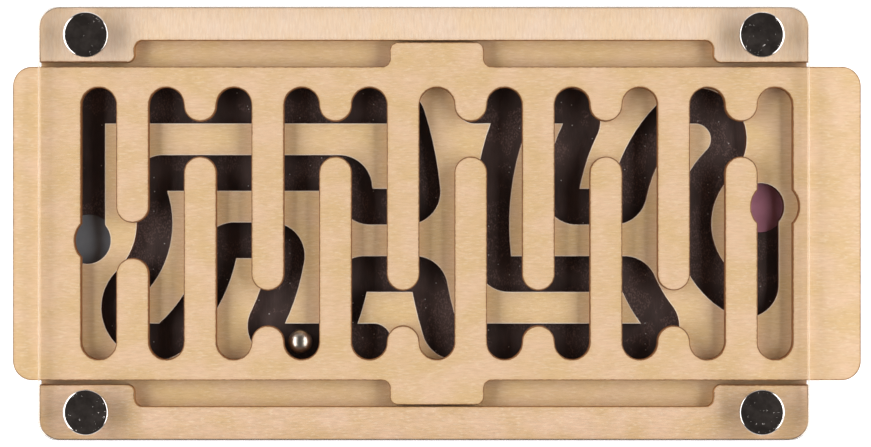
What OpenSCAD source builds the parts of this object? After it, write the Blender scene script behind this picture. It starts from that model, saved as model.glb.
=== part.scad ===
// Sliding-plate ball maze: a slotted slider over a winding groove, with one loose steel ball.
// Millimetres, +Z up, the rear screw heads stand on Z = 0 and the slider is centred on the origin.

/* [Grid of the maze] */
// Spacing of the slots, and of the groove's legs, along the length
col_pitch = 15.4; // [14.6:0.1:17]
// Spacing of the groove's rows across the width
row_pitch = 7.7; // [7.4:0.1:8.6]

/* [Groove in the maze plate] */
// Width of the groove
groove_w = 8; // [6.5:0.1:8.6]
// Radius of the groove's centre line where it turns a corner
bend_r = 3.5; // [2.5:0.1:3.7]
// Diameter of the round pockets at the start and the finish
goal_d = 10.6; // [9:0.1:12]

/* [Slots in the slider] */
// Width of a slot, and height of the gates between slots
slot_w = 8; // [6.5:0.1:8.6]
// Diameter of the round eyes over the start and the finish
eye_d = 11; // [9:0.1:12]

/* [Slider] */
// Thickness of the slider
slider_t = 3; // [2.5:0.1:5]
// Wood beyond the centre line of the last slot
slider_end = 19.5; // [15:0.1:30]
// Wood beside the slots
slider_side = 4.75; // [3:0.05:8]
// Radius of the slider's corners
slider_corner_r = 4.4; // [1:0.1:6]
// Width of the stop tabs
tab_w = 21.4; // [12:0.1:30]
// How far the stop tabs stand out of the slider's sides
tab_h = 5.55; // [4:0.05:7]
// Rounding of the tabs and of the rails' recesses
tab_round = 1.8; // [0.5:0.1:1.9]
// How far the slider is pushed to the right of the case's middle
slider_shift = 2.95; // [0:0.05:5]

/* [Case] */
// Thickness of the back plate
back_t = 3; // [2:0.1:5]
// Thickness of the maze plate
maze_t = 3; // [2.5:0.1:4]
// Thickness of the clear cover
cover_t = 3; // [2:0.1:5]
// Wood beyond the centre line of the first and last groove leg
case_end = 10.5; // [8:0.1:20]
// Width of a rail
rail_w = 12.5; // [11.5:0.1:20]
// Radius of the case's corners
case_corner_r = 4.5; // [1:0.1:8]
// Length of the recess that a stop tab runs in
recess_l = 131.8; // [60:0.1:135]

/* [Clearances] */
// Gap between the slider and a rail
slide_gap = 1; // [0.3:0.05:2]
// Gap between a stop tab and the bottom of its recess
tab_gap = 0.45; // [0.2:0.05:1]
// Gap under and over the slider
lift_gap = 0.15; // [0.1:0.01:0.3]
// Gap under the ball
ball_gap = 0.1; // [0.05:0.01:0.2]
// Gap round a post's barrel and round a screw's shank
bore_gap = 0.1; // [0.05:0.01:0.2]

/* [Ball and spots] */
// Diameter of the steel ball
ball_d = 5.5; // [4:0.1:5.6]
// Diameter of the coloured spots
spot_d = 12; // [11:0.1:14]
// Thickness of the coloured spots, let into the floor
spot_t = 0.3; // [0.1:0.1:0.6]

/* [Posts and screws] */
// Diameter of a post's polished head
head_d = 10.3; // [8:0.1:11]
// Thickness of a post's head
head_t = 2; // [1.5:0.1:3]
// Width of the bevel round the face of a post's or screw's head
head_bevel_w = 0.5; // [0.2:0.05:1]
// Height of that bevel
head_bevel_h = 0.22; // [0.1:0.02:0.6]
// Diameter of a post's barrel
barrel_d = 5; // [4.5:0.1:6]
// Diameter of a screw's shank
shank_d = 3.4; // [2.5:0.1:3.6]
// Diameter of a screw's head
screw_head_d = 9; // [7:0.1:10]
// Thickness of a screw's head
screw_head_t = 1.6; // [1.2:0.1:2.5]
// Width of the driver slot in a screw's head
driver_w = 1.2; // [0.8:0.1:1.6]
// Depth of the driver slot
driver_h = 0.8; // [0.5:0.1:1]
// Distance of the posts from the ends of the case
post_inset_x = 11; // [8:0.1:14]
// Distance of the posts from the long sides of the case
post_inset_y = 6.5; // [6:0.1:7]

/* [Hidden] */
$fn = 96;

// Heights of the layers, from the rest plane up
back_z = screw_head_t;
floor_z = back_z + back_t;
maze_top_z = floor_z + maze_t;
slider_z = maze_top_z + lift_gap;
rail_t = slider_t + 2 * lift_gap;
cover_z = maze_top_z + rail_t;
cover_top_z = cover_z + cover_t;

// The grid: columns run from -last_col to last_col, rows are counted from the middle
last_col = 5;
end_row = 3.5;
gate_row = 2.5;
inner_row = 1.5;
goal_row = 0.5;
half_groove = groove_w / 2;

// The slider's outline
slider_half_l = last_col * col_pitch + slider_end;
slider_half_w = end_row * row_pitch + slot_w / 2 + slider_side;
finger_w = col_pitch - slot_w;

// The case's outline
case_x = -slider_shift;
case_half_l = last_col * col_pitch + case_end;
rail_inner_y = slider_half_w + slide_gap;
case_half_w = rail_inner_y + rail_w;
recess_y = slider_half_w + tab_h + tab_gap;
post_x = case_half_l - post_inset_x;
post_y = case_half_w - post_inset_y;

// The groove's upright legs are arcs about two hubs, one beyond the start and one beyond the finish
hub_col = 5.25;
hub_lead = hub_col - last_col + 1;
loop_row = gate_row;
stub_col = 0.75;

// How far bends and joints of the groove stand over the stretches that they join, and run into them
blend = 0.02;
blend_angle = 10;
blend_tip = 0.3;

// Upright legs of the groove: side of the hub, count of columns from the innermost leg, first and last row,
// and the way the row runs off at each of them (0 where the leg meets a row that goes both ways)
LEGS = [
    [-1, 4, end_row, goal_row, -1, -1],
    [-1, 3, goal_row, inner_row, 1, -1],
    [-1, 1, -end_row, -goal_row, -1, 1],
    [-1, 2, -goal_row, -end_row, -1, 1],
    [-1, 3, -end_row, -inner_row, 0, 1],
    [1, 4, -inner_row, -end_row, -1, 1],
    [1, 1, -end_row, -inner_row, -1, -1],
    [1, 3, -inner_row, end_row, 1, 0],
    [1, 2, end_row, goal_row, -1, 1],
    [1, 1, goal_row, end_row, -1, 1]
];

// Gates between one slot and the next, as rows of the grid
GATES = [-goal_row, for (i = [2:2 * last_col]) (i % 2 == 0 ? 1 : -1) * gate_row];

// The ball lies at the lower end of this slot, a little to the left of its middle
ball_col = -2;
ball_off_x = -0.45;

function row_y(row) = row * row_pitch;
function hub_x(side) = side * hub_col * col_pitch;
function leg_r(count) = (hub_lead + count) * col_pitch;

// Centre of the bend where a leg turns into a row: up is the way the leg goes, run the way the row goes
function bend_y(row, up) = row_y(row) + up * bend_r;
function bend_x(side, count, row, up, run) =
    hub_x(side) - side * sqrt(pow(leg_r(count) - side * run * bend_r, 2) - pow(bend_y(row, up), 2));

// Angle, seen from the hub, at which a leg leaves its bend, or meets a row that goes both ways
function leg_angle(side, count, row, up, run) =
    run == 0
        ? atan2(row_y(row), -side * sqrt(pow(leg_r(count), 2) - pow(row_y(row), 2)))
        : atan2(bend_y(row, up), bend_x(side, count, row, up, run) - hub_x(side));

// An angle above 0 and at most 360, so that arcs round the right-hand hub don't jump at 180
function full_turn(angle) = angle > 0 ? angle : angle + 360;

// Where a row meets a leg: the x of its bend
function row_end(leg, at_last) =
    let(row = leg[at_last ? 3 : 2], other = leg[at_last ? 2 : 3])
    bend_x(leg[0], leg[1], row, sign(other - row), leg[at_last ? 5 : 4]);

// Flat wedge from angle a0 up to angle a1 that covers a disc of the given radius
module wedge(radius, a0, a1) {
    steps = ceil((a1 - a0) / 60);
    reach = radius * 1.5;
    polygon(concat(
        [[0, 0]],
        [for (i = [0:steps]) let(a = a0 + (a1 - a0) * i / steps) reach * [cos(a), sin(a)]]
    ));
}

// Curved stretch of groove about the origin, from angle a0 up to angle a1
module arc_run(radius, a0, a1) {
    intersection() {
        difference() {
            circle(r = radius + half_groove);
            circle(r = radius - half_groove);
        }
        wedge(radius + half_groove, a0, a1);
    }
}

// Straight stretch of groove along a row
module row_run(row, x0, x1) {
    translate([min(x0, x1), row_y(row) - half_groove]) square([abs(x1 - x0), groove_w]);
}

// Rounded corner of the groove about a bend's centre, running a little into the stretches that it joins
module bend(x, y, a0, a1) {
    outer = bend_r + half_groove + blend;
    middle = (a0 + a1) / 2;
    translate([x, y]) intersection() {
        circle(r = outer);
        translate(-blend_tip * [cos(middle), sin(middle)]) wedge(outer, a0 - blend_angle, a1 + blend_angle);
    }
}

// Round joint between two curved stretches, or between a curved and a straight one
module knuckle(x, y) {
    translate([x, y]) circle(d = groove_w + 2 * blend);
}

// One end of a leg: the bend from the row's side of the turn to the leg's side
module leg_bend(side, count, row, up, run) {
    x = bend_x(side, count, row, up, run);
    y = bend_y(row, up);
    on_leg = atan2(-y, hub_x(side) - x) + (side * run < 0 ? 0 : 180);
    on_row = up > 0 ? 270 : 90;
    turn = ((on_leg - on_row) % 360 + 540) % 360 - 180;
    bend(x, y, min(on_row, on_row + turn), max(on_row, on_row + turn));
}

// One upright leg of the groove with the bends at its ends
module leg(data) {
    side = data[0];
    count = data[1];
    up = sign(data[3] - data[2]);
    a0 = leg_angle(side, count, data[2], up, data[4]);
    a1 = leg_angle(side, count, data[3], -up, data[5]);
    b0 = side > 0 ? full_turn(a0) : a0;
    b1 = side > 0 ? full_turn(a1) : a1;
    translate([hub_x(side), 0]) arc_run(leg_r(count), min(b0, b1), max(b0, b1));
    if (data[4] != 0) leg_bend(side, count, data[2], up, data[4]);
    if (data[5] != 0) leg_bend(side, count, data[3], -up, data[5]);
}

// Loop of the groove between the innermost leg and the end row beside it
loop_x = hub_col * col_pitch - sqrt(pow(leg_r(0) + row_pitch, 2) - pow(row_y(loop_row), 2));
loop_angle = atan2(row_y(loop_row), loop_x - hub_col * col_pitch);

// Drawn for the finish side; the start side is the same turned half round
module end_loop() {
    translate([loop_x, row_y(loop_row)]) arc_run(row_pitch, loop_angle - 180, 90);
    knuckle(loop_x, row_y(end_row));
    knuckle(hub_x(1) + leg_r(0) * cos(loop_angle), leg_r(0) * sin(loop_angle));
}

// Start: pocket, straight leg up the first column and the bend into the top row
module start_leg() {
    x = -last_col * col_pitch;
    y = row_y(end_row) - bend_r;
    translate([x, -row_y(goal_row)]) circle(d = goal_d);
    translate([x - half_groove, -row_y(goal_row)]) square([groove_w, y + row_y(goal_row)]);
    bend(x + bend_r, y, 90, 180);
}

// Innermost leg of the start side, from the second row down to the loop
module start_arc() {
    top = leg_angle(-1, 0, inner_row, -1, 1);
    translate([hub_x(-1), 0]) arc_run(leg_r(0), loop_angle - 180, top);
    leg_bend(-1, 0, inner_row, -1, 1);
}

// Finish: innermost leg from the loop right round to the last column, and the straight leg up to the pocket
module finish_leg() {
    x = last_col * col_pitch;
    centre_x = x - bend_r;
    centre_y = -sqrt(pow(leg_r(0) - bend_r, 2) - pow(hub_x(1) - centre_x, 2));
    low = full_turn(atan2(centre_y, centre_x - hub_x(1)));
    translate([hub_x(1), 0]) arc_run(leg_r(0), loop_angle, low);
    bend(centre_x, centre_y, low, 360);
    translate([x - half_groove, centre_y]) square([groove_w, row_y(goal_row) - centre_y]);
    translate([x, row_y(goal_row)]) circle(d = goal_d);
}

// The whole groove, about the middle of the case
module groove() {
    for (data = LEGS) leg(data);
    start_leg();
    start_arc();
    finish_leg();
    end_loop();
    rotate(180) end_loop();
    row_run(end_row, -last_col * col_pitch + bend_r, row_end(LEGS[0], false));
    row_run(goal_row, row_end(LEGS[0], true), row_end(LEGS[1], false));
    row_run(inner_row, row_end(LEGS[1], true), bend_x(-1, 0, inner_row, -1, 1));
    row_run(-end_row, -loop_x, row_end(LEGS[2], false));
    row_run(-goal_row, row_end(LEGS[2], true), row_end(LEGS[3], false));
    row_run(-end_row, row_end(LEGS[3], true), -stub_col * col_pitch);
    row_run(-inner_row, row_end(LEGS[4], true), row_end(LEGS[5], false));
    row_run(-end_row, row_end(LEGS[5], true), row_end(LEGS[6], false));
    row_run(-inner_row, row_end(LEGS[6], true), row_end(LEGS[7], false));
    row_run(end_row, stub_col * col_pitch, row_end(LEGS[8], false));
    row_run(goal_row, row_end(LEGS[8], true), row_end(LEGS[9], false));
    row_run(end_row, row_end(LEGS[9], true), loop_x);
    for (turn = [0, 180]) rotate(turn) translate([stub_col * col_pitch, row_y(end_row)]) circle(d = groove_w);
}

// Wood that fills an inside corner at the origin to a fillet, towards +X +Y
module inside_fillet(radius) {
    difference() {
        square(radius);
        translate([radius, radius]) circle(r = radius);
    }
}

// Rectangle about the origin with rounded corners
module rounded_plate(half_l, half_w, radius) {
    difference() {
        translate([-half_l, -half_w]) square([2 * half_l, 2 * half_w]);
        for (sx = [-1, 1], sy = [-1, 1])
            translate([sx * half_l, sy * half_w]) scale([-sx, -sy]) inside_fillet(radius);
    }
}

// Post holes of a case plate, about the middle of the case
module post_holes() {
    for (sx = [-1, 1], sy = [-1, 1])
        translate([sx * post_x, sy * post_y]) circle(d = barrel_d + 2 * bore_gap);
}

// A flat case plate of full size at height z
module case_plate(z, thickness) {
    translate([case_x, 0, z]) linear_extrude(thickness) difference() {
        rounded_plate(case_half_l, case_half_w, case_corner_r);
        post_holes();
        children();
    }
}

module back_plate() {
    color("#3a2b2a") difference() {
        case_plate(back_z, back_t);
        for (side = [-1, 1])
            translate([case_x + side * last_col * col_pitch, side * row_y(goal_row), floor_z - spot_t])
                cylinder(d = spot_d, h = 2 * spot_t);
    }
}

module maze_plate() {
    color("#cdb18a") case_plate(floor_z, maze_t) groove();
}

module cover() {
    color("#e8f0f0", 0.25) case_plate(cover_z, cover_t);
}

// Rail on the far side, about the middle of the case, before it is set in place
module rail_outline() {
    recess_half_l = recess_l / 2;
    difference() {
        intersection() {
            rounded_plate(case_half_l, case_half_w, case_corner_r);
            translate([-case_half_l, rail_inner_y]) square([2 * case_half_l, rail_w]);
        }
        difference() {
            translate([-recess_half_l, rail_inner_y]) square([recess_l, recess_y - rail_inner_y]);
            for (sx = [-1, 1])
                translate([sx * recess_half_l, recess_y]) scale([-sx, -1]) inside_fillet(tab_round);
        }
        for (sx = [-1, 1])
            translate([sx * recess_half_l, rail_inner_y]) scale([sx, 1]) inside_fillet(tab_round);
        post_holes();
    }
}

module upper_rail() {
    color("#dcc098") translate([case_x, 0, maze_top_z]) linear_extrude(rail_t) rail_outline();
}

module lower_rail() {
    color("#dcc098") translate([case_x, 0, maze_top_z]) linear_extrude(rail_t) mirror([0, 1]) rail_outline();
}

// Outline of the slider with its two stop tabs
module slider_outline() {
    rounded_plate(slider_half_l, slider_half_w, slider_corner_r);
    for (sy = [-1, 1]) translate([0, sy * slider_half_w]) scale([1, sy]) {
        difference() {
            translate([-tab_w / 2, 0]) square([tab_w, tab_h]);
            for (sx = [-1, 1]) translate([sx * tab_w / 2, tab_h]) scale([-sx, -1]) inside_fillet(tab_round);
        }
        for (sx = [-1, 1]) translate([sx * tab_w / 2, 0]) scale([sx, 1]) inside_fillet(tab_round);
    }
}

// The slots with their round ends, the gates between them and the two eyes
module slider_cuts() {
    for (col = [-last_col:last_col]) translate([col * col_pitch, 0]) {
        translate([-slot_w / 2, -row_y(end_row)]) square([slot_w, 2 * row_y(end_row)]);
        for (sy = [-1, 1]) translate([0, sy * row_y(end_row)]) circle(d = slot_w);
    }
    for (i = [0:len(GATES) - 1]) translate([(i - last_col + 0.5) * col_pitch, row_y(GATES[i])]) gate();
    for (side = [-1, 1]) translate([side * last_col * col_pitch, side * row_y(goal_row)]) circle(d = eye_d);
}

// Opening between two neighbouring slots, between the round tips of two fingers
module gate() {
    tip_y = slot_w / 2 + finger_w / 2;
    difference() {
        translate([-col_pitch / 2, -tip_y]) square([col_pitch, 2 * tip_y]);
        for (sy = [-1, 1]) translate([0, sy * tip_y]) circle(d = finger_w);
    }
}

module slider() {
    color("#e3c79d") translate([0, 0, slider_z]) linear_extrude(slider_t) difference() {
        slider_outline();
        slider_cuts();
    }
}

module ball() {
    color("#b8bcc0")
        translate([ball_col * col_pitch + ball_off_x, -row_y(end_row), floor_z + ball_gap + ball_d / 2])
            sphere(d = ball_d);
}

// A coloured spot let into the floor under a pocket: side -1 is the start, 1 the finish
module spot(side) {
    translate([case_x + side * last_col * col_pitch, side * row_y(goal_row), floor_z - spot_t])
        cylinder(d = spot_d - 2 * bore_gap, h = spot_t);
}

module start_spot() {
    color("#55585c") spot(-1);
}

module finish_spot() {
    color("#6d4560") spot(1);
}

// Turned post: polished head on the cover, barrel down to the back plate, bored from behind for the screw
module binding_post(sx, sy) {
    top = cover_top_z + head_t;
    foot = back_z + bore_gap;
    bore_r = shank_d / 2 + bore_gap;
    color("#c9ccd0") translate([case_x + sx * post_x, sy * post_y, 0]) rotate_extrude() polygon([
        [0, top],
        [head_d / 2 - head_bevel_w, top],
        [head_d / 2, top - head_bevel_h],
        [head_d / 2, cover_top_z],
        [barrel_d / 2, cover_top_z],
        [barrel_d / 2, foot],
        [bore_r, foot],
        [bore_r, cover_z],
        [0, cover_z]
    ]);
}

// Screw from behind: slotted head under the back plate, shank up the post's bore
module binding_screw(sx, sy) {
    head_r = screw_head_d / 2;
    color("#b9bcc0") translate([case_x + sx * post_x, sy * post_y, 0]) difference() {
        rotate_extrude() polygon([
            [0, 0],
            [head_r - head_bevel_w, 0],
            [head_r, head_bevel_h],
            [head_r, back_z],
            [shank_d / 2, back_z],
            [shank_d / 2, maze_top_z],
            [0, maze_top_z]
        ]);
        translate([-head_r - 1, -driver_w / 2, -driver_h]) cube([screw_head_d + 2, driver_w, 2 * driver_h]);
    }
}

back_plate();
maze_plate();
upper_rail();
lower_rail();
slider();
cover();
ball();
start_spot();
finish_spot();
binding_post(-1, 1);  // binding_post_upper_left
binding_post(1, 1);  // binding_post_upper_right
binding_post(-1, -1);  // binding_post_lower_left
binding_post(1, -1);  // binding_post_lower_right
binding_screw(-1, 1);  // binding_screw_upper_left
binding_screw(1, 1);  // binding_screw_upper_right
binding_screw(-1, -1);  // binding_screw_lower_left
binding_screw(1, -1);  // binding_screw_lower_right
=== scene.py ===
"""Looks of a sliding-plate ball maze: birch plywood, clear acrylic, polished posts and a steel ball."""

import math

import bmesh
import bpy
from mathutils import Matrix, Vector
from mathutils.bvhtree import BVHTree


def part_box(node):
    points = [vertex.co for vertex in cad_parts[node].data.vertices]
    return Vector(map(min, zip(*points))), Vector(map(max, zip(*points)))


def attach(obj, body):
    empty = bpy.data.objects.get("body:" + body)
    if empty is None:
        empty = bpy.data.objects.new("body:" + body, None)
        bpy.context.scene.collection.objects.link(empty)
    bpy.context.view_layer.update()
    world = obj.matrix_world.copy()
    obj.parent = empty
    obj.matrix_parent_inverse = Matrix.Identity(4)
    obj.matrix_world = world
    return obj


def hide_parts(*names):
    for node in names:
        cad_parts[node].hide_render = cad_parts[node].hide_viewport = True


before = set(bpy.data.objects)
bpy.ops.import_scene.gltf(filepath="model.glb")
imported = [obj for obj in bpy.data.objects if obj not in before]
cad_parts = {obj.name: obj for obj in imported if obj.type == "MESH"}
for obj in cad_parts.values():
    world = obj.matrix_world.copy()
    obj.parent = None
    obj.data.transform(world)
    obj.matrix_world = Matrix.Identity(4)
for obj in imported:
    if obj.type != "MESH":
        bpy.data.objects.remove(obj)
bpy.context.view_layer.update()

MM = 0.001

# What the picture shows of the slider's top face, and how far above it the camera stands
VIEW_W = 198.25 * MM
VIEW_HEIGHT = 700 * MM
VIEW_X = -0.32 * MM
SENSOR_W = 36

# Two long soft boxes, left and right, above a white table that lies just below the screw heads
BOX_DISTANCE = 800 * MM
BOX_ZENITH = math.radians(54)
BOX_W = 410 * MM
BOX_L = 1200 * MM
BOX_WATTS = 6.6
TABLE_SIDE = 6.0
TABLE_DROP = 0.02 * MM

# Mesh work on copies of the CAD nodes: a length that doesn't show, the angles between faces that count as
# flat and as smooth, and the part of a face's normal that makes it level or leaning
HAIR = 0.001 * MM
FLAT_ANGLE = math.radians(1)
SMOOTH_ANGLE = math.radians(30)
LEVEL = 0.99
LEANING = 0.3

# Eased and rolled edges, and the lift of the cover's lower face
EASED_EDGE = 0.1 * MM
COVER_EASE = 0.2 * MM
SCREW_EASE = 0.06 * MM
HEAD_ROLL = 0.2 * MM
COVER_LIFT = 0.04 * MM

# Rims of the faces: toasted plywood, the maze's groove with its painted highlight, the floor and the
# spots, the cover, the post heads
TOAST_W = 0.9 * MM
GROOVE_HIGHLIGHT_W = 0.55 * MM
DARK_RIM_W = 0.3 * MM
COVER_RIM_W = 0.5 * MM
HEAD_RIM_W = 1.0 * MM

# Heat that the cutting beam left: in a slot's cuts along X and across it, in open cuts, in those of the
# rails, and none
ALONG_HEAT = 0.97
ACROSS_HEAT = 0.9
OPEN_HEAT = 0.87
RAIL_HEAT = 0.77
NO_HEAT = 0.0

# Directions of the face grain
LENGTHWISE = 0.0
CROSSWISE = math.radians(90)

# Sockets of the colour mix node
MIX_A = 6
MIX_B = 7


# Colour and node helpers

def linear(code):
    """Linear colour of an sRGB hex value."""
    parts = [int(code[i:i + 2], 16) / 255 for i in (1, 3, 5)]
    return [p / 12.92 if p <= 0.04045 else ((p + 0.055) / 1.055) ** 2.4 for p in parts] + [1.0]


def feed(tree, node, inputs):
    """Sets a node's sockets, each to a value or to the node or output that feeds it."""
    for socket, value in inputs.items():
        if isinstance(value, bpy.types.Node):
            value = next(output for output in value.outputs if output.enabled)
        if isinstance(value, bpy.types.NodeSocket):
            tree.links.new(value, node.inputs[socket])
        else:
            node.inputs[socket].default_value = value


def add(tree, kind, inputs=None, **settings):
    """Adds a node with its settings, and feeds its sockets."""
    node = tree.nodes.new(kind)
    for name, value in settings.items():
        setattr(node, name, value)
    feed(tree, node, inputs or {})
    return node


def new_material(name):
    """A new material with its tree and shader, and the object coordinates that its patterns read."""
    material = bpy.data.materials.new(name)
    material.use_nodes = True
    tree = material.node_tree
    place = add(tree, "ShaderNodeTexCoord").outputs["Object"]
    return material, tree, tree.nodes["Principled BSDF"], place


def streaks(tree, place, length, width, detail=2.0):
    """Noise drawn out along the first axis, with features of that length and width."""
    scale = (1 / length, 1 / width, 1 / width)
    drawn = add(tree, "ShaderNodeMapping", {"Vector": place, "Scale": scale})
    return add(tree, "ShaderNodeTexNoise", {"Vector": drawn, "Scale": 1.0, "Detail": detail})


def tint(tree, base, colour, pattern, low, high, most=1.0):
    """The base with another colour over it as a pattern goes from low to high, up to a share of most."""
    share = add(tree, "ShaderNodeMapRange", {
        "Value": pattern, "From Min": low, "From Max": high, "To Max": most,
    })
    return add(tree, "ShaderNodeMix", {0: share, MIX_A: base, MIX_B: colour}, data_type="RGBA")


# Materials

def birch_ply(name, tones, turn, toast_and_highlight, edge_line_and_highlight, middle):
    """Birch plywood, sanded and left bare, cut by a laser: a pale silky face with soft clouds of honey and
    pink and short pale flecks along the grain, toasted beside the cuts (on the maze plate a painted
    highlight there instead), and walls of three plies that the heat browned."""
    material, tree, shader, place = new_material(name)
    honey, pink, fibre, fleck, ply, core = [linear(tone) for tone in tones]
    grain = add(tree, "ShaderNodeMapping", {"Vector": place, "Rotation": (0, 0, turn)})
    clouds = streaks(tree, grain, 8 * MM, 6 * MM)
    fibres = streaks(tree, grain, 2.4 * MM, 0.45 * MM, 3.0)
    flecks = streaks(tree, grain, 1.2 * MM, 0.34 * MM, 1.0)
    face = tint(tree, honey, pink, clouds, 0.35, 0.65)
    face = tint(tree, face, fibre, fibres, 0.4, 0.8, 0.3)
    face = tint(tree, face, fleck, flecks, 0.54, 0.76, 0.4)

    # Beside a cut: a toasted margin and the uneven line of the edge, both from the rim painted on the
    # mesh; on the maze plate both are a painted highlight along the groove edges
    rim = add(tree, "ShaderNodeAttribute", attribute_name="rim").outputs["Fac"]
    margin = add(tree, "ShaderNodeMath", {0: rim, 1: 2.0}, operation="POWER")
    face = tint(tree, face, linear(toast_and_highlight), margin, 0.0, 1.0, 0.4)
    flicker = streaks(tree, place, 0.7 * MM, 0.7 * MM)
    edge = add(tree, "ShaderNodeMath", {0: flicker, 1: 0.3, 2: rim}, operation="MULTIPLY_ADD")
    face = tint(tree, face, linear(edge_line_and_highlight), edge, 0.85, 1.0, 0.85)

    # The cut walls and their eased edges: a darker ply in the middle, and smoke stains
    height = add(tree, "ShaderNodeSeparateXYZ", {0: place}).outputs["Z"]
    off_middle = add(tree, "ShaderNodeMath", {0: height, 1: middle}, operation="SUBTRACT")
    off_middle = add(tree, "ShaderNodeMath", {0: off_middle}, operation="ABSOLUTE")
    wall = tint(tree, ply, core, off_middle, 0.55 * MM, 0.45 * MM)
    smoke = streaks(tree, place, 1.4 * MM, 1.4 * MM)
    wall = tint(tree, wall, linear("#5c3a20"), smoke, 0.45, 0.75, 0.5)
    normal = add(tree, "ShaderNodeNewGeometry").outputs["Normal"]
    level = add(tree, "ShaderNodeSeparateXYZ", {0: normal}).outputs["Z"]
    level = add(tree, "ShaderNodeMath", {0: level}, operation="ABSOLUTE")
    colour = tint(tree, face, wall, level, 0.96, 0.94)

    bump = add(tree, "ShaderNodeBump", {"Height": fibres, "Strength": 0.18, "Distance": 0.05 * MM})
    feed(tree, shader, {
        "Base Color": colour, "Normal": bump, "Roughness": 0.62, "Specular IOR Level": 0.3,
    })
    return material


def stained_ply():
    """Plywood stained near black, with a satin sheen: open pores across the maze, drifts of sanding dust
    and specks."""
    material, tree, shader, place = new_material("stained_plywood")
    grain = add(tree, "ShaderNodeMapping", {"Vector": place, "Rotation": (0, 0, CROSSWISE)})
    clouds = streaks(tree, grain, 9 * MM, 5 * MM)
    pores = streaks(tree, grain, 2.5 * MM, 0.32 * MM)
    colour = tint(tree, linear("#4a3b37"), linear("#5f4d49"), clouds, 0.35, 0.7)
    colour = tint(tree, colour, linear("#7c605c"), pores, 0.52, 0.75, 0.22)

    # Dust gathers in drifts, and is drawn 0.3 mm wide, the finest that shows
    dust = streaks(tree, grain, 0.42 * MM, 0.3 * MM, 3.0)
    drift = streaks(tree, place, 7 * MM, 7 * MM)
    drift = add(tree, "ShaderNodeMapRange", {"Value": drift, "From Min": 0.37, "From Max": 0.52})
    dust = add(tree, "ShaderNodeMath", {0: dust, 1: drift}, operation="MULTIPLY")
    colour = tint(tree, colour, linear("#b8928a"), dust, 0.48, 0.76, 0.52)

    # Specks are drawn about 0.2 mm across, each in one cell of eight
    cells = add(tree, "ShaderNodeTexVoronoi", {
        "Vector": place, "Scale": 1 / (2.4 * MM),
    }, voronoi_dimensions="2D")
    lot = add(tree, "ShaderNodeSeparateXYZ", {0: cells.outputs["Color"]})
    clean = add(tree, "ShaderNodeMath", {0: lot, 1: 0.87}, operation="LESS_THAN")
    away = add(tree, "ShaderNodeMath", {0: clean, 1: cells.outputs["Distance"]}, operation="ADD")
    colour = tint(tree, colour, linear("#f0ece8"), away, 0.06, 0.035)

    bump = add(tree, "ShaderNodeBump", {"Height": pores, "Strength": 0.35, "Distance": 0.05 * MM})
    feed(tree, shader, {
        "Base Color": colour, "Normal": bump, "Roughness": 0.5, "Specular IOR Level": 0.35,
    })
    return material


def clear_acrylic():
    """Cast acrylic sheet, polished: clear, so that only its gloss shows, faint from above and strong at a
    low angle."""
    material, tree, shader, place = new_material("clear_acrylic")
    slant = add(tree, "ShaderNodeLayerWeight", {"Blend": 0.5}).outputs["Facing"]
    slant = add(tree, "ShaderNodeMath", {0: slant, 1: 5.0}, operation="POWER")
    gloss = add(tree, "ShaderNodeMapRange", {"Value": slant, "To Min": 0.02})
    haze = streaks(tree, place, 60 * MM, 40 * MM)
    roughness = add(tree, "ShaderNodeMath", {0: haze, 1: 0.06}, operation="MULTIPLY")
    feed(tree, shader, {
        "Base Color": linear("#fbfdfd"), "Metallic": 1.0, "Alpha": gloss, "Roughness": roughness,
    })
    return material


def acrylic_edge(name, tones, alpha, painted_glow):
    """Laser-cut edge of the acrylic sheet: milky and painted as glowing, for the light carried inside the
    sheet; where the edge is eased, a darker line of painted shade and reflection."""
    material, tree, shader, place = new_material(name)
    ripple = streaks(tree, place, 0.5 * MM, 0.5 * MM)
    colour = tint(tree, linear(tones[0]), linear(tones[1]), ripple, 0.3, 0.7)
    # The emission paints light into the edge, which is no lamp
    feed(tree, shader, {
        "Base Color": colour, "Roughness": 0.2, "IOR": 1.49, "Alpha": alpha,
        "Emission Color": linear("#ffe2c0"), "Emission Strength": painted_glow,
    })
    return material


def polished_nickel(name, tone, roughness):
    """Nickel plate, polished: a mirror with a faint cloud, a few pits, and fine dents near the rim on the
    side that was rubbed, which catch the lights."""
    material, tree, shader, place = new_material(name)
    cloud = streaks(tree, place, 2.5 * MM, 2.5 * MM, 4.0)
    colour = tint(tree, linear(tone), linear("#f2ebe6"), cloud, 0.35, 0.75)
    pits = streaks(tree, place, 0.5 * MM, 0.5 * MM, 1.0)
    pits = add(tree, "ShaderNodeMapRange", {
        "Value": pits, "From Min": 0.74, "From Max": 0.84, "To Max": 0.4,
    })

    # Dents, only on the flat top
    dents = streaks(tree, place, 0.5 * MM, 0.3 * MM)
    dents = add(tree, "ShaderNodeMapRange", {"Value": dents, "From Min": 0.56, "From Max": 0.74})
    rubbed = streaks(tree, place, 4 * MM, 4 * MM)
    rubbed = add(tree, "ShaderNodeMapRange", {"Value": rubbed, "From Min": 0.48, "From Max": 0.6})
    rim = add(tree, "ShaderNodeAttribute", attribute_name="rim").outputs["Fac"]
    rubbed = add(tree, "ShaderNodeMath", {0: rubbed, 1: rim}, operation="MULTIPLY")
    normal = add(tree, "ShaderNodeNewGeometry").outputs["Normal"]
    top = add(tree, "ShaderNodeSeparateXYZ", {0: normal}).outputs["Z"]
    top = add(tree, "ShaderNodeMath", {0: top, 1: LEVEL}, operation="GREATER_THAN")
    rubbed = add(tree, "ShaderNodeMath", {0: rubbed, 1: top}, operation="MULTIPLY")

    marks = add(tree, "ShaderNodeMath", {0: dents, 1: rubbed, 2: pits}, operation="MULTIPLY_ADD")
    bump = add(tree, "ShaderNodeBump", {"Height": marks, "Strength": 1.0, "Distance": 0.15 * MM})
    feed(tree, shader, {
        "Base Color": colour, "Metallic": 1.0, "Roughness": roughness, "Normal": bump,
    })
    return material


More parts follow.
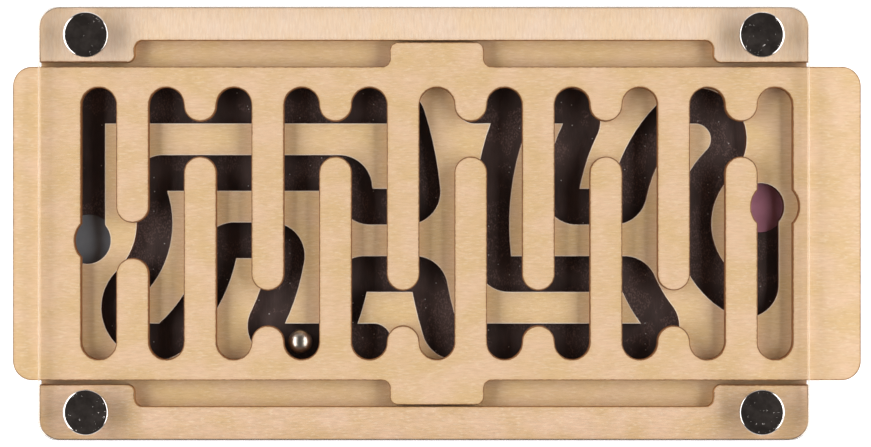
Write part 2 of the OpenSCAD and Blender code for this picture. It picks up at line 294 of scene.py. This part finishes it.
def bearing_steel():
    """Hardened steel, ground and tumbled: a dull mirror with a faint brown cast."""
    material, tree, shader, place = new_material("bearing_steel")
    cloud = streaks(tree, place, 0.9 * MM, 0.9 * MM)
    colour = tint(tree, linear("#b6aca0"), linear("#ccc2b6"), cloud, 0.3, 0.7)
    feed(tree, shader, {"Base Color": colour, "Metallic": 1.0, "Roughness": 0.32})
    return material


def gloss_card(name, tones):
    """Coloured card with a gloss varnish, cut to a disc: even colour with a soft mottle."""
    material, tree, shader, place = new_material(name)
    mottle = streaks(tree, place, 3 * MM, 3 * MM)
    colour = tint(tree, linear(tones[0]), linear(tones[1]), mottle, 0.3, 0.7)
    feed(tree, shader, {"Base Color": colour, "Roughness": 0.35})
    return material


# Pieces

def start_copy(node, name):
    """A copy of a CAD node's mesh as a new piece, merged, with flat faces joined, left in edit mode."""
    bpy.ops.object.select_all(action="DESELECT")
    piece = bpy.data.objects.new(name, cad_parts[node].data.copy())
    bpy.context.scene.collection.objects.link(piece)
    bpy.context.view_layer.objects.active = piece
    piece.select_set(True)
    bpy.ops.object.mode_set(mode="EDIT")
    bpy.ops.mesh.select_all(action="SELECT")
    bpy.ops.mesh.remove_doubles(threshold=HAIR)
    bpy.ops.mesh.dissolve_limited(angle_limit=FLAT_ANGLE)
    return piece


def select_faces(piece, wanted):
    """Selects the faces that wanted() names, in face mode."""
    bpy.ops.mesh.select_mode(type="FACE")
    bpy.ops.mesh.select_all(action="DESELECT")
    mesh = bmesh.from_edit_mesh(piece.data)
    for face in mesh.faces:
        face.select_set(wanted(face))
    bmesh.update_edit_mesh(piece.data)


def select_sharp_edges(piece):
    """Selects the edges where a level face meets a wall."""
    bpy.ops.mesh.select_mode(type="EDGE")
    bpy.ops.mesh.select_all(action="DESELECT")
    mesh = bmesh.from_edit_mesh(piece.data)
    for edge in mesh.edges:
        level = [abs(face.normal.z) > LEVEL for face in edge.link_faces]
        edge.select_set(len(level) == 2 and level[0] != level[1])
    bmesh.update_edit_mesh(piece.data)


def end_copy(piece, node, body, materials, open_heat=OPEN_HEAT):
    """Leaves edit mode, paints the rim on the mesh, and sets the piece in place of its CAD node."""
    bpy.ops.object.mode_set(mode="OBJECT")
    bpy.ops.object.shade_smooth_by_angle(angle=SMOOTH_ANGLE)
    mesh = piece.data
    mesh.materials.clear()
    for material in materials:
        mesh.materials.append(material)

    # A cut is in a slot where a ray straight out of it meets another cut
    rim = mesh.attributes.new("rim", "FLOAT", "POINT")
    cuts = [face.vertices for face in mesh.polygons if abs(face.normal.z) < LEVEL]
    cuts = BVHTree.FromPolygons([point.co for point in mesh.vertices], cuts)
    for face in mesh.polygons:
        level = abs(face.normal.z) > LEVEL
        face.material_index = 0 if level or len(materials) == 1 else 1
        if level:
            face.use_smooth = False
            continue
        ray = Vector((face.normal.x, face.normal.y, 0)).normalized()
        in_slot = cuts.ray_cast(face.center + ray * HAIR, ray)[0]
        slot_heat = ACROSS_HEAT + (ALONG_HEAT - ACROSS_HEAT) * abs(ray.y)
        heat = slot_heat if in_slot else open_heat
        for corner in face.vertices:
            rim.data[corner].value = max(rim.data[corner].value, heat)

    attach(piece, body)
    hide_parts(node)
    return piece


def sheet_piece(node, name, materials, rim_w, body="case", ease=EASED_EDGE, open_heat=OPEN_HEAT):
    """A flat cut sheet: its faces get a rim of their own beside every cut, and its edges are eased."""
    piece = start_copy(node, name)
    select_faces(piece, lambda face: abs(face.normal.z) > LEVEL)
    bpy.ops.mesh.inset(thickness=rim_w, use_even_offset=True)
    select_sharp_edges(piece)
    bpy.ops.mesh.bevel(offset=ease, segments=2, affect="EDGES")
    return end_copy(piece, node, body, materials, open_heat)


def cover_piece():
    """The clear cover: its eased long edges get painted shade lines, dark on the near side and grey on the
    far side, and its lower face is drawn a little above the rails, because two faces in one plane flicker."""
    # The cut edge is milky and painted as glowing; the near and far lines are painted shade and reflection
    milky = acrylic_edge("acrylic_cut_edge_painted_glow", ["#e6d8c2", "#f4e8d4"], 0.4, 0.08)
    dark = acrylic_edge("acrylic_near_painted_shade_line", ["#5e554e", "#766c64"], 0.68, 0.0)
    grey = acrylic_edge("acrylic_far_painted_shade_line", ["#a8a298", "#bab4aa"], 0.6, 0.0)
    materials = [clear_acrylic(), milky, dark, grey]
    piece = sheet_piece("cover", "cover_sheet", materials, COVER_RIM_W, ease=COVER_EASE)
    # Each eased long edge takes a painted shade line by the side it faces: dark near, grey far
    for face in piece.data.polygons:
        if abs(face.normal.y) > LEANING and LEANING < abs(face.normal.z) < LEVEL:
            face.material_index = materials.index(dark if face.normal.y < 0 else grey)
    bpy.ops.object.mode_set(mode="EDIT")
    select_faces(piece, lambda face: face.normal.z < -LEVEL)
    bpy.ops.transform.translate(value=(0, 0, COVER_LIFT))
    bpy.ops.object.mode_set(mode="OBJECT")


def post_piece(node, name, material):
    """A turned post: the bevel of its head is rolled over at both ends, and the flat gets a rim."""
    piece = start_copy(node, name)
    select_faces(piece, lambda face: LEANING < face.normal.z < LEVEL)
    bpy.ops.mesh.region_to_loop()
    bpy.ops.mesh.bevel(offset=HEAD_ROLL, segments=4, affect="EDGES")
    top = max(face.calc_center_median().z for face in bmesh.from_edit_mesh(piece.data).faces)
    select_faces(piece, lambda face: face.calc_center_median().z > top - HAIR)
    bpy.ops.mesh.inset(thickness=HEAD_RIM_W)
    end_copy(piece, node, "case", [material])


def screw_piece(node, name, material):
    """A slotted screw with eased edges."""
    piece = start_copy(node, name)
    select_sharp_edges(piece)
    bpy.ops.mesh.bevel(offset=SCREW_EASE, segments=3, affect="EDGES")
    end_copy(piece, node, "case", [material])


def ball_piece():
    """The steel ball: the CAD ball, made finer and drawn back to a true sphere."""
    piece = start_copy("ball", "steel_ball")
    bpy.ops.mesh.select_all(action="SELECT")
    bpy.ops.mesh.subdivide(number_cuts=1)
    low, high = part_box("ball")
    centre = (Vector(low) + Vector(high)) / 2
    radius = (high[0] - low[0]) / 2
    mesh = bmesh.from_edit_mesh(piece.data)
    for point in mesh.verts:
        point.co = centre + (point.co - centre).normalized() * radius
    bmesh.update_edit_mesh(piece.data)
    end_copy(piece, "ball", "ball", [bearing_steel()])
    bpy.ops.object.shade_smooth()


def middle_z(node):
    """Height of the middle of a sheet."""
    low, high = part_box(node)
    return (low[2] + high[2]) / 2


# Plywood tones: honey, pink, fibre and fleck of a face, and the outer and the middle ply of a cut
BIRCH = ["#e9c695", "#f2ceab", "#c39a68", "#fbe6c8"]
MAZE_BIRCH = ["#edcb96", "#efcca4", "#c4985e", "#fce6c0"]
PALE_BIRCH = ["#f9dbb8", "#fadfc6", "#cda67e", "#fff4e4"]
GRAINY_BIRCH = ["#e8c496", "#f2ceae", "#aa8056", "#fff2dc"]
LIGHT_CUT = ["#bd8a55", "#a07040"]
BROWN_CUT = ["#9f6637", "#7e5029"]
DARK_CUT = ["#6e4022", "#563018"]

# Tones beside a cut: toasted and burnt wood, and a painted highlight along the maze's groove edges
TOAST = "#cf9a55"
BURNT = "#6a3d1e"
PAINTED_HIGHLIGHT_RIM = "#fff9ee"

# Plywood sheets: node, piece and body, then the tones, the grain, the tone of the toasted margin, the edge
# line, the width of
#  the rim and the heat left in open cuts; on the maze plate the margin and the edge line are a painted
#  highlight
SHEETS = [
    ("slider", "slider_plate", "slider",
     BIRCH + BROWN_CUT, LENGTHWISE, TOAST, BURNT, TOAST_W, OPEN_HEAT),
    ("upper_rail", "upper_rail_plate", "case",
     PALE_BIRCH + LIGHT_CUT, CROSSWISE, TOAST, BURNT, TOAST_W, RAIL_HEAT),
    ("lower_rail", "lower_rail_plate", "case",
     GRAINY_BIRCH + LIGHT_CUT, LENGTHWISE, TOAST, BURNT, TOAST_W, RAIL_HEAT),
    # The maze plate's margin and edge line are a painted highlight along its groove edges
    ("maze_plate", "maze_sheet", "case",
     MAZE_BIRCH + DARK_CUT, LENGTHWISE, PAINTED_HIGHLIGHT_RIM, PAINTED_HIGHLIGHT_RIM, GROOVE_HIGHLIGHT_W, NO_HEAT),
]
for node, name, body, tones, turn, toast_and_highlight, edge_line_and_highlight, rim_w, open_heat in SHEETS:
    ply = birch_ply(f"birch_plywood_{node}", tones, turn, toast_and_highlight, edge_line_and_highlight, middle_z(node))
    sheet_piece(node, name, [ply], rim_w, body, open_heat=open_heat)

sheet_piece("back_plate", "floor_sheet", [stained_ply()], DARK_RIM_W)
cover_piece()
start_card = gloss_card("grey_gloss_card", ["#888c92", "#94989e"])
sheet_piece("start_spot", "start_disc", [start_card], DARK_RIM_W)
finish_card = gloss_card("purple_gloss_card", ["#c4849a", "#d292aa"])
sheet_piece("finish_spot", "finish_disc", [finish_card], DARK_RIM_W)
ball_piece()

post_finish = polished_nickel("polished_nickel", "#b0aaa6", 0.05)
screw_finish = polished_nickel("plated_screw", "#b8b4b0", 0.18)
for corner in ("upper_left", "upper_right", "lower_left", "lower_right"):
    post_piece(f"binding_post_{corner}", f"post_{corner}", post_finish)
    screw_piece(f"binding_screw_{corner}", f"screw_{corner}", screw_finish)


# Stage

def white_table():
    """A large table top that stays white in the picture."""
    bpy.ops.object.select_all(action="DESELECT")
    bpy.ops.mesh.primitive_plane_add(size=TABLE_SIDE, location=(0, 0, -TABLE_DROP))
    table = bpy.context.object
    table.name = "table"
    material, tree, shader, _ = new_material("white_table")
    feed(tree, shader, {
        "Base Color": linear("#f0f0f0"), "Roughness": 0.8,
        "Emission Color": linear("#ffffff"), "Emission Strength": 0.75,
    })
    table.data.materials.append(material)


def soft_box(name, side):
    """A long soft box on one side, turned to the puzzle."""
    data = bpy.data.lights.new(name, "AREA")
    data.shape = "RECTANGLE"
    data.size = BOX_W
    data.size_y = BOX_L
    data.energy = BOX_WATTS
    light = bpy.data.objects.new(name, data)
    bpy.context.scene.collection.objects.link(light)
    aside = BOX_DISTANCE * math.sin(BOX_ZENITH)
    light.location = (side * aside, 0, BOX_DISTANCE * math.cos(BOX_ZENITH))
    light.rotation_euler = (0, side * BOX_ZENITH, 0)


def studio_air():
    """A white sweep behind the table, dimmer walls on the other sides, and the dark camera stand above."""
    world = bpy.data.worlds.new("studio")
    bpy.context.scene.world = world
    world.use_nodes = True
    tree = world.node_tree
    way = add(tree, "ShaderNodeTexCoord").outputs["Generated"]
    way = add(tree, "ShaderNodeSeparateXYZ", {0: way})
    low = add(tree, "ShaderNodeMapRange", {
        "Value": way.outputs["Z"], "From Min": 0.5, "From Max": 0.35,
    })
    back = add(tree, "ShaderNodeMapRange", {
        "Value": way.outputs["Y"], "From Min": -0.2, "From Max": 0.9, "To Min": 0.25, "To Max": 0.9,
    })
    bright = add(tree, "ShaderNodeMath", {0: low, 1: back}, operation="MULTIPLY")
    colour = add(tree, "ShaderNodeMix", {
        0: bright, MIX_A: linear("#403c3a"), MIX_B: linear("#ffffff"),
    }, data_type="RGBA")
    feed(tree, tree.nodes["Background"], {"Color": colour})


def top_camera():
    """Looks straight down on the slider."""
    data = bpy.data.cameras.new("camera")
    data.sensor_width = SENSOR_W
    data.lens = SENSOR_W * VIEW_HEIGHT / VIEW_W
    camera = bpy.data.objects.new("camera", data)
    bpy.context.scene.collection.objects.link(camera)
    camera.location = (VIEW_X, 0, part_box("slider")[1][2] + VIEW_HEIGHT)
    bpy.context.scene.camera = camera


white_table()
soft_box("soft_box_left", -1)
soft_box("soft_box_right", 1)
studio_air()
top_camera()
bpy.context.scene.view_settings.view_transform = "Standard"
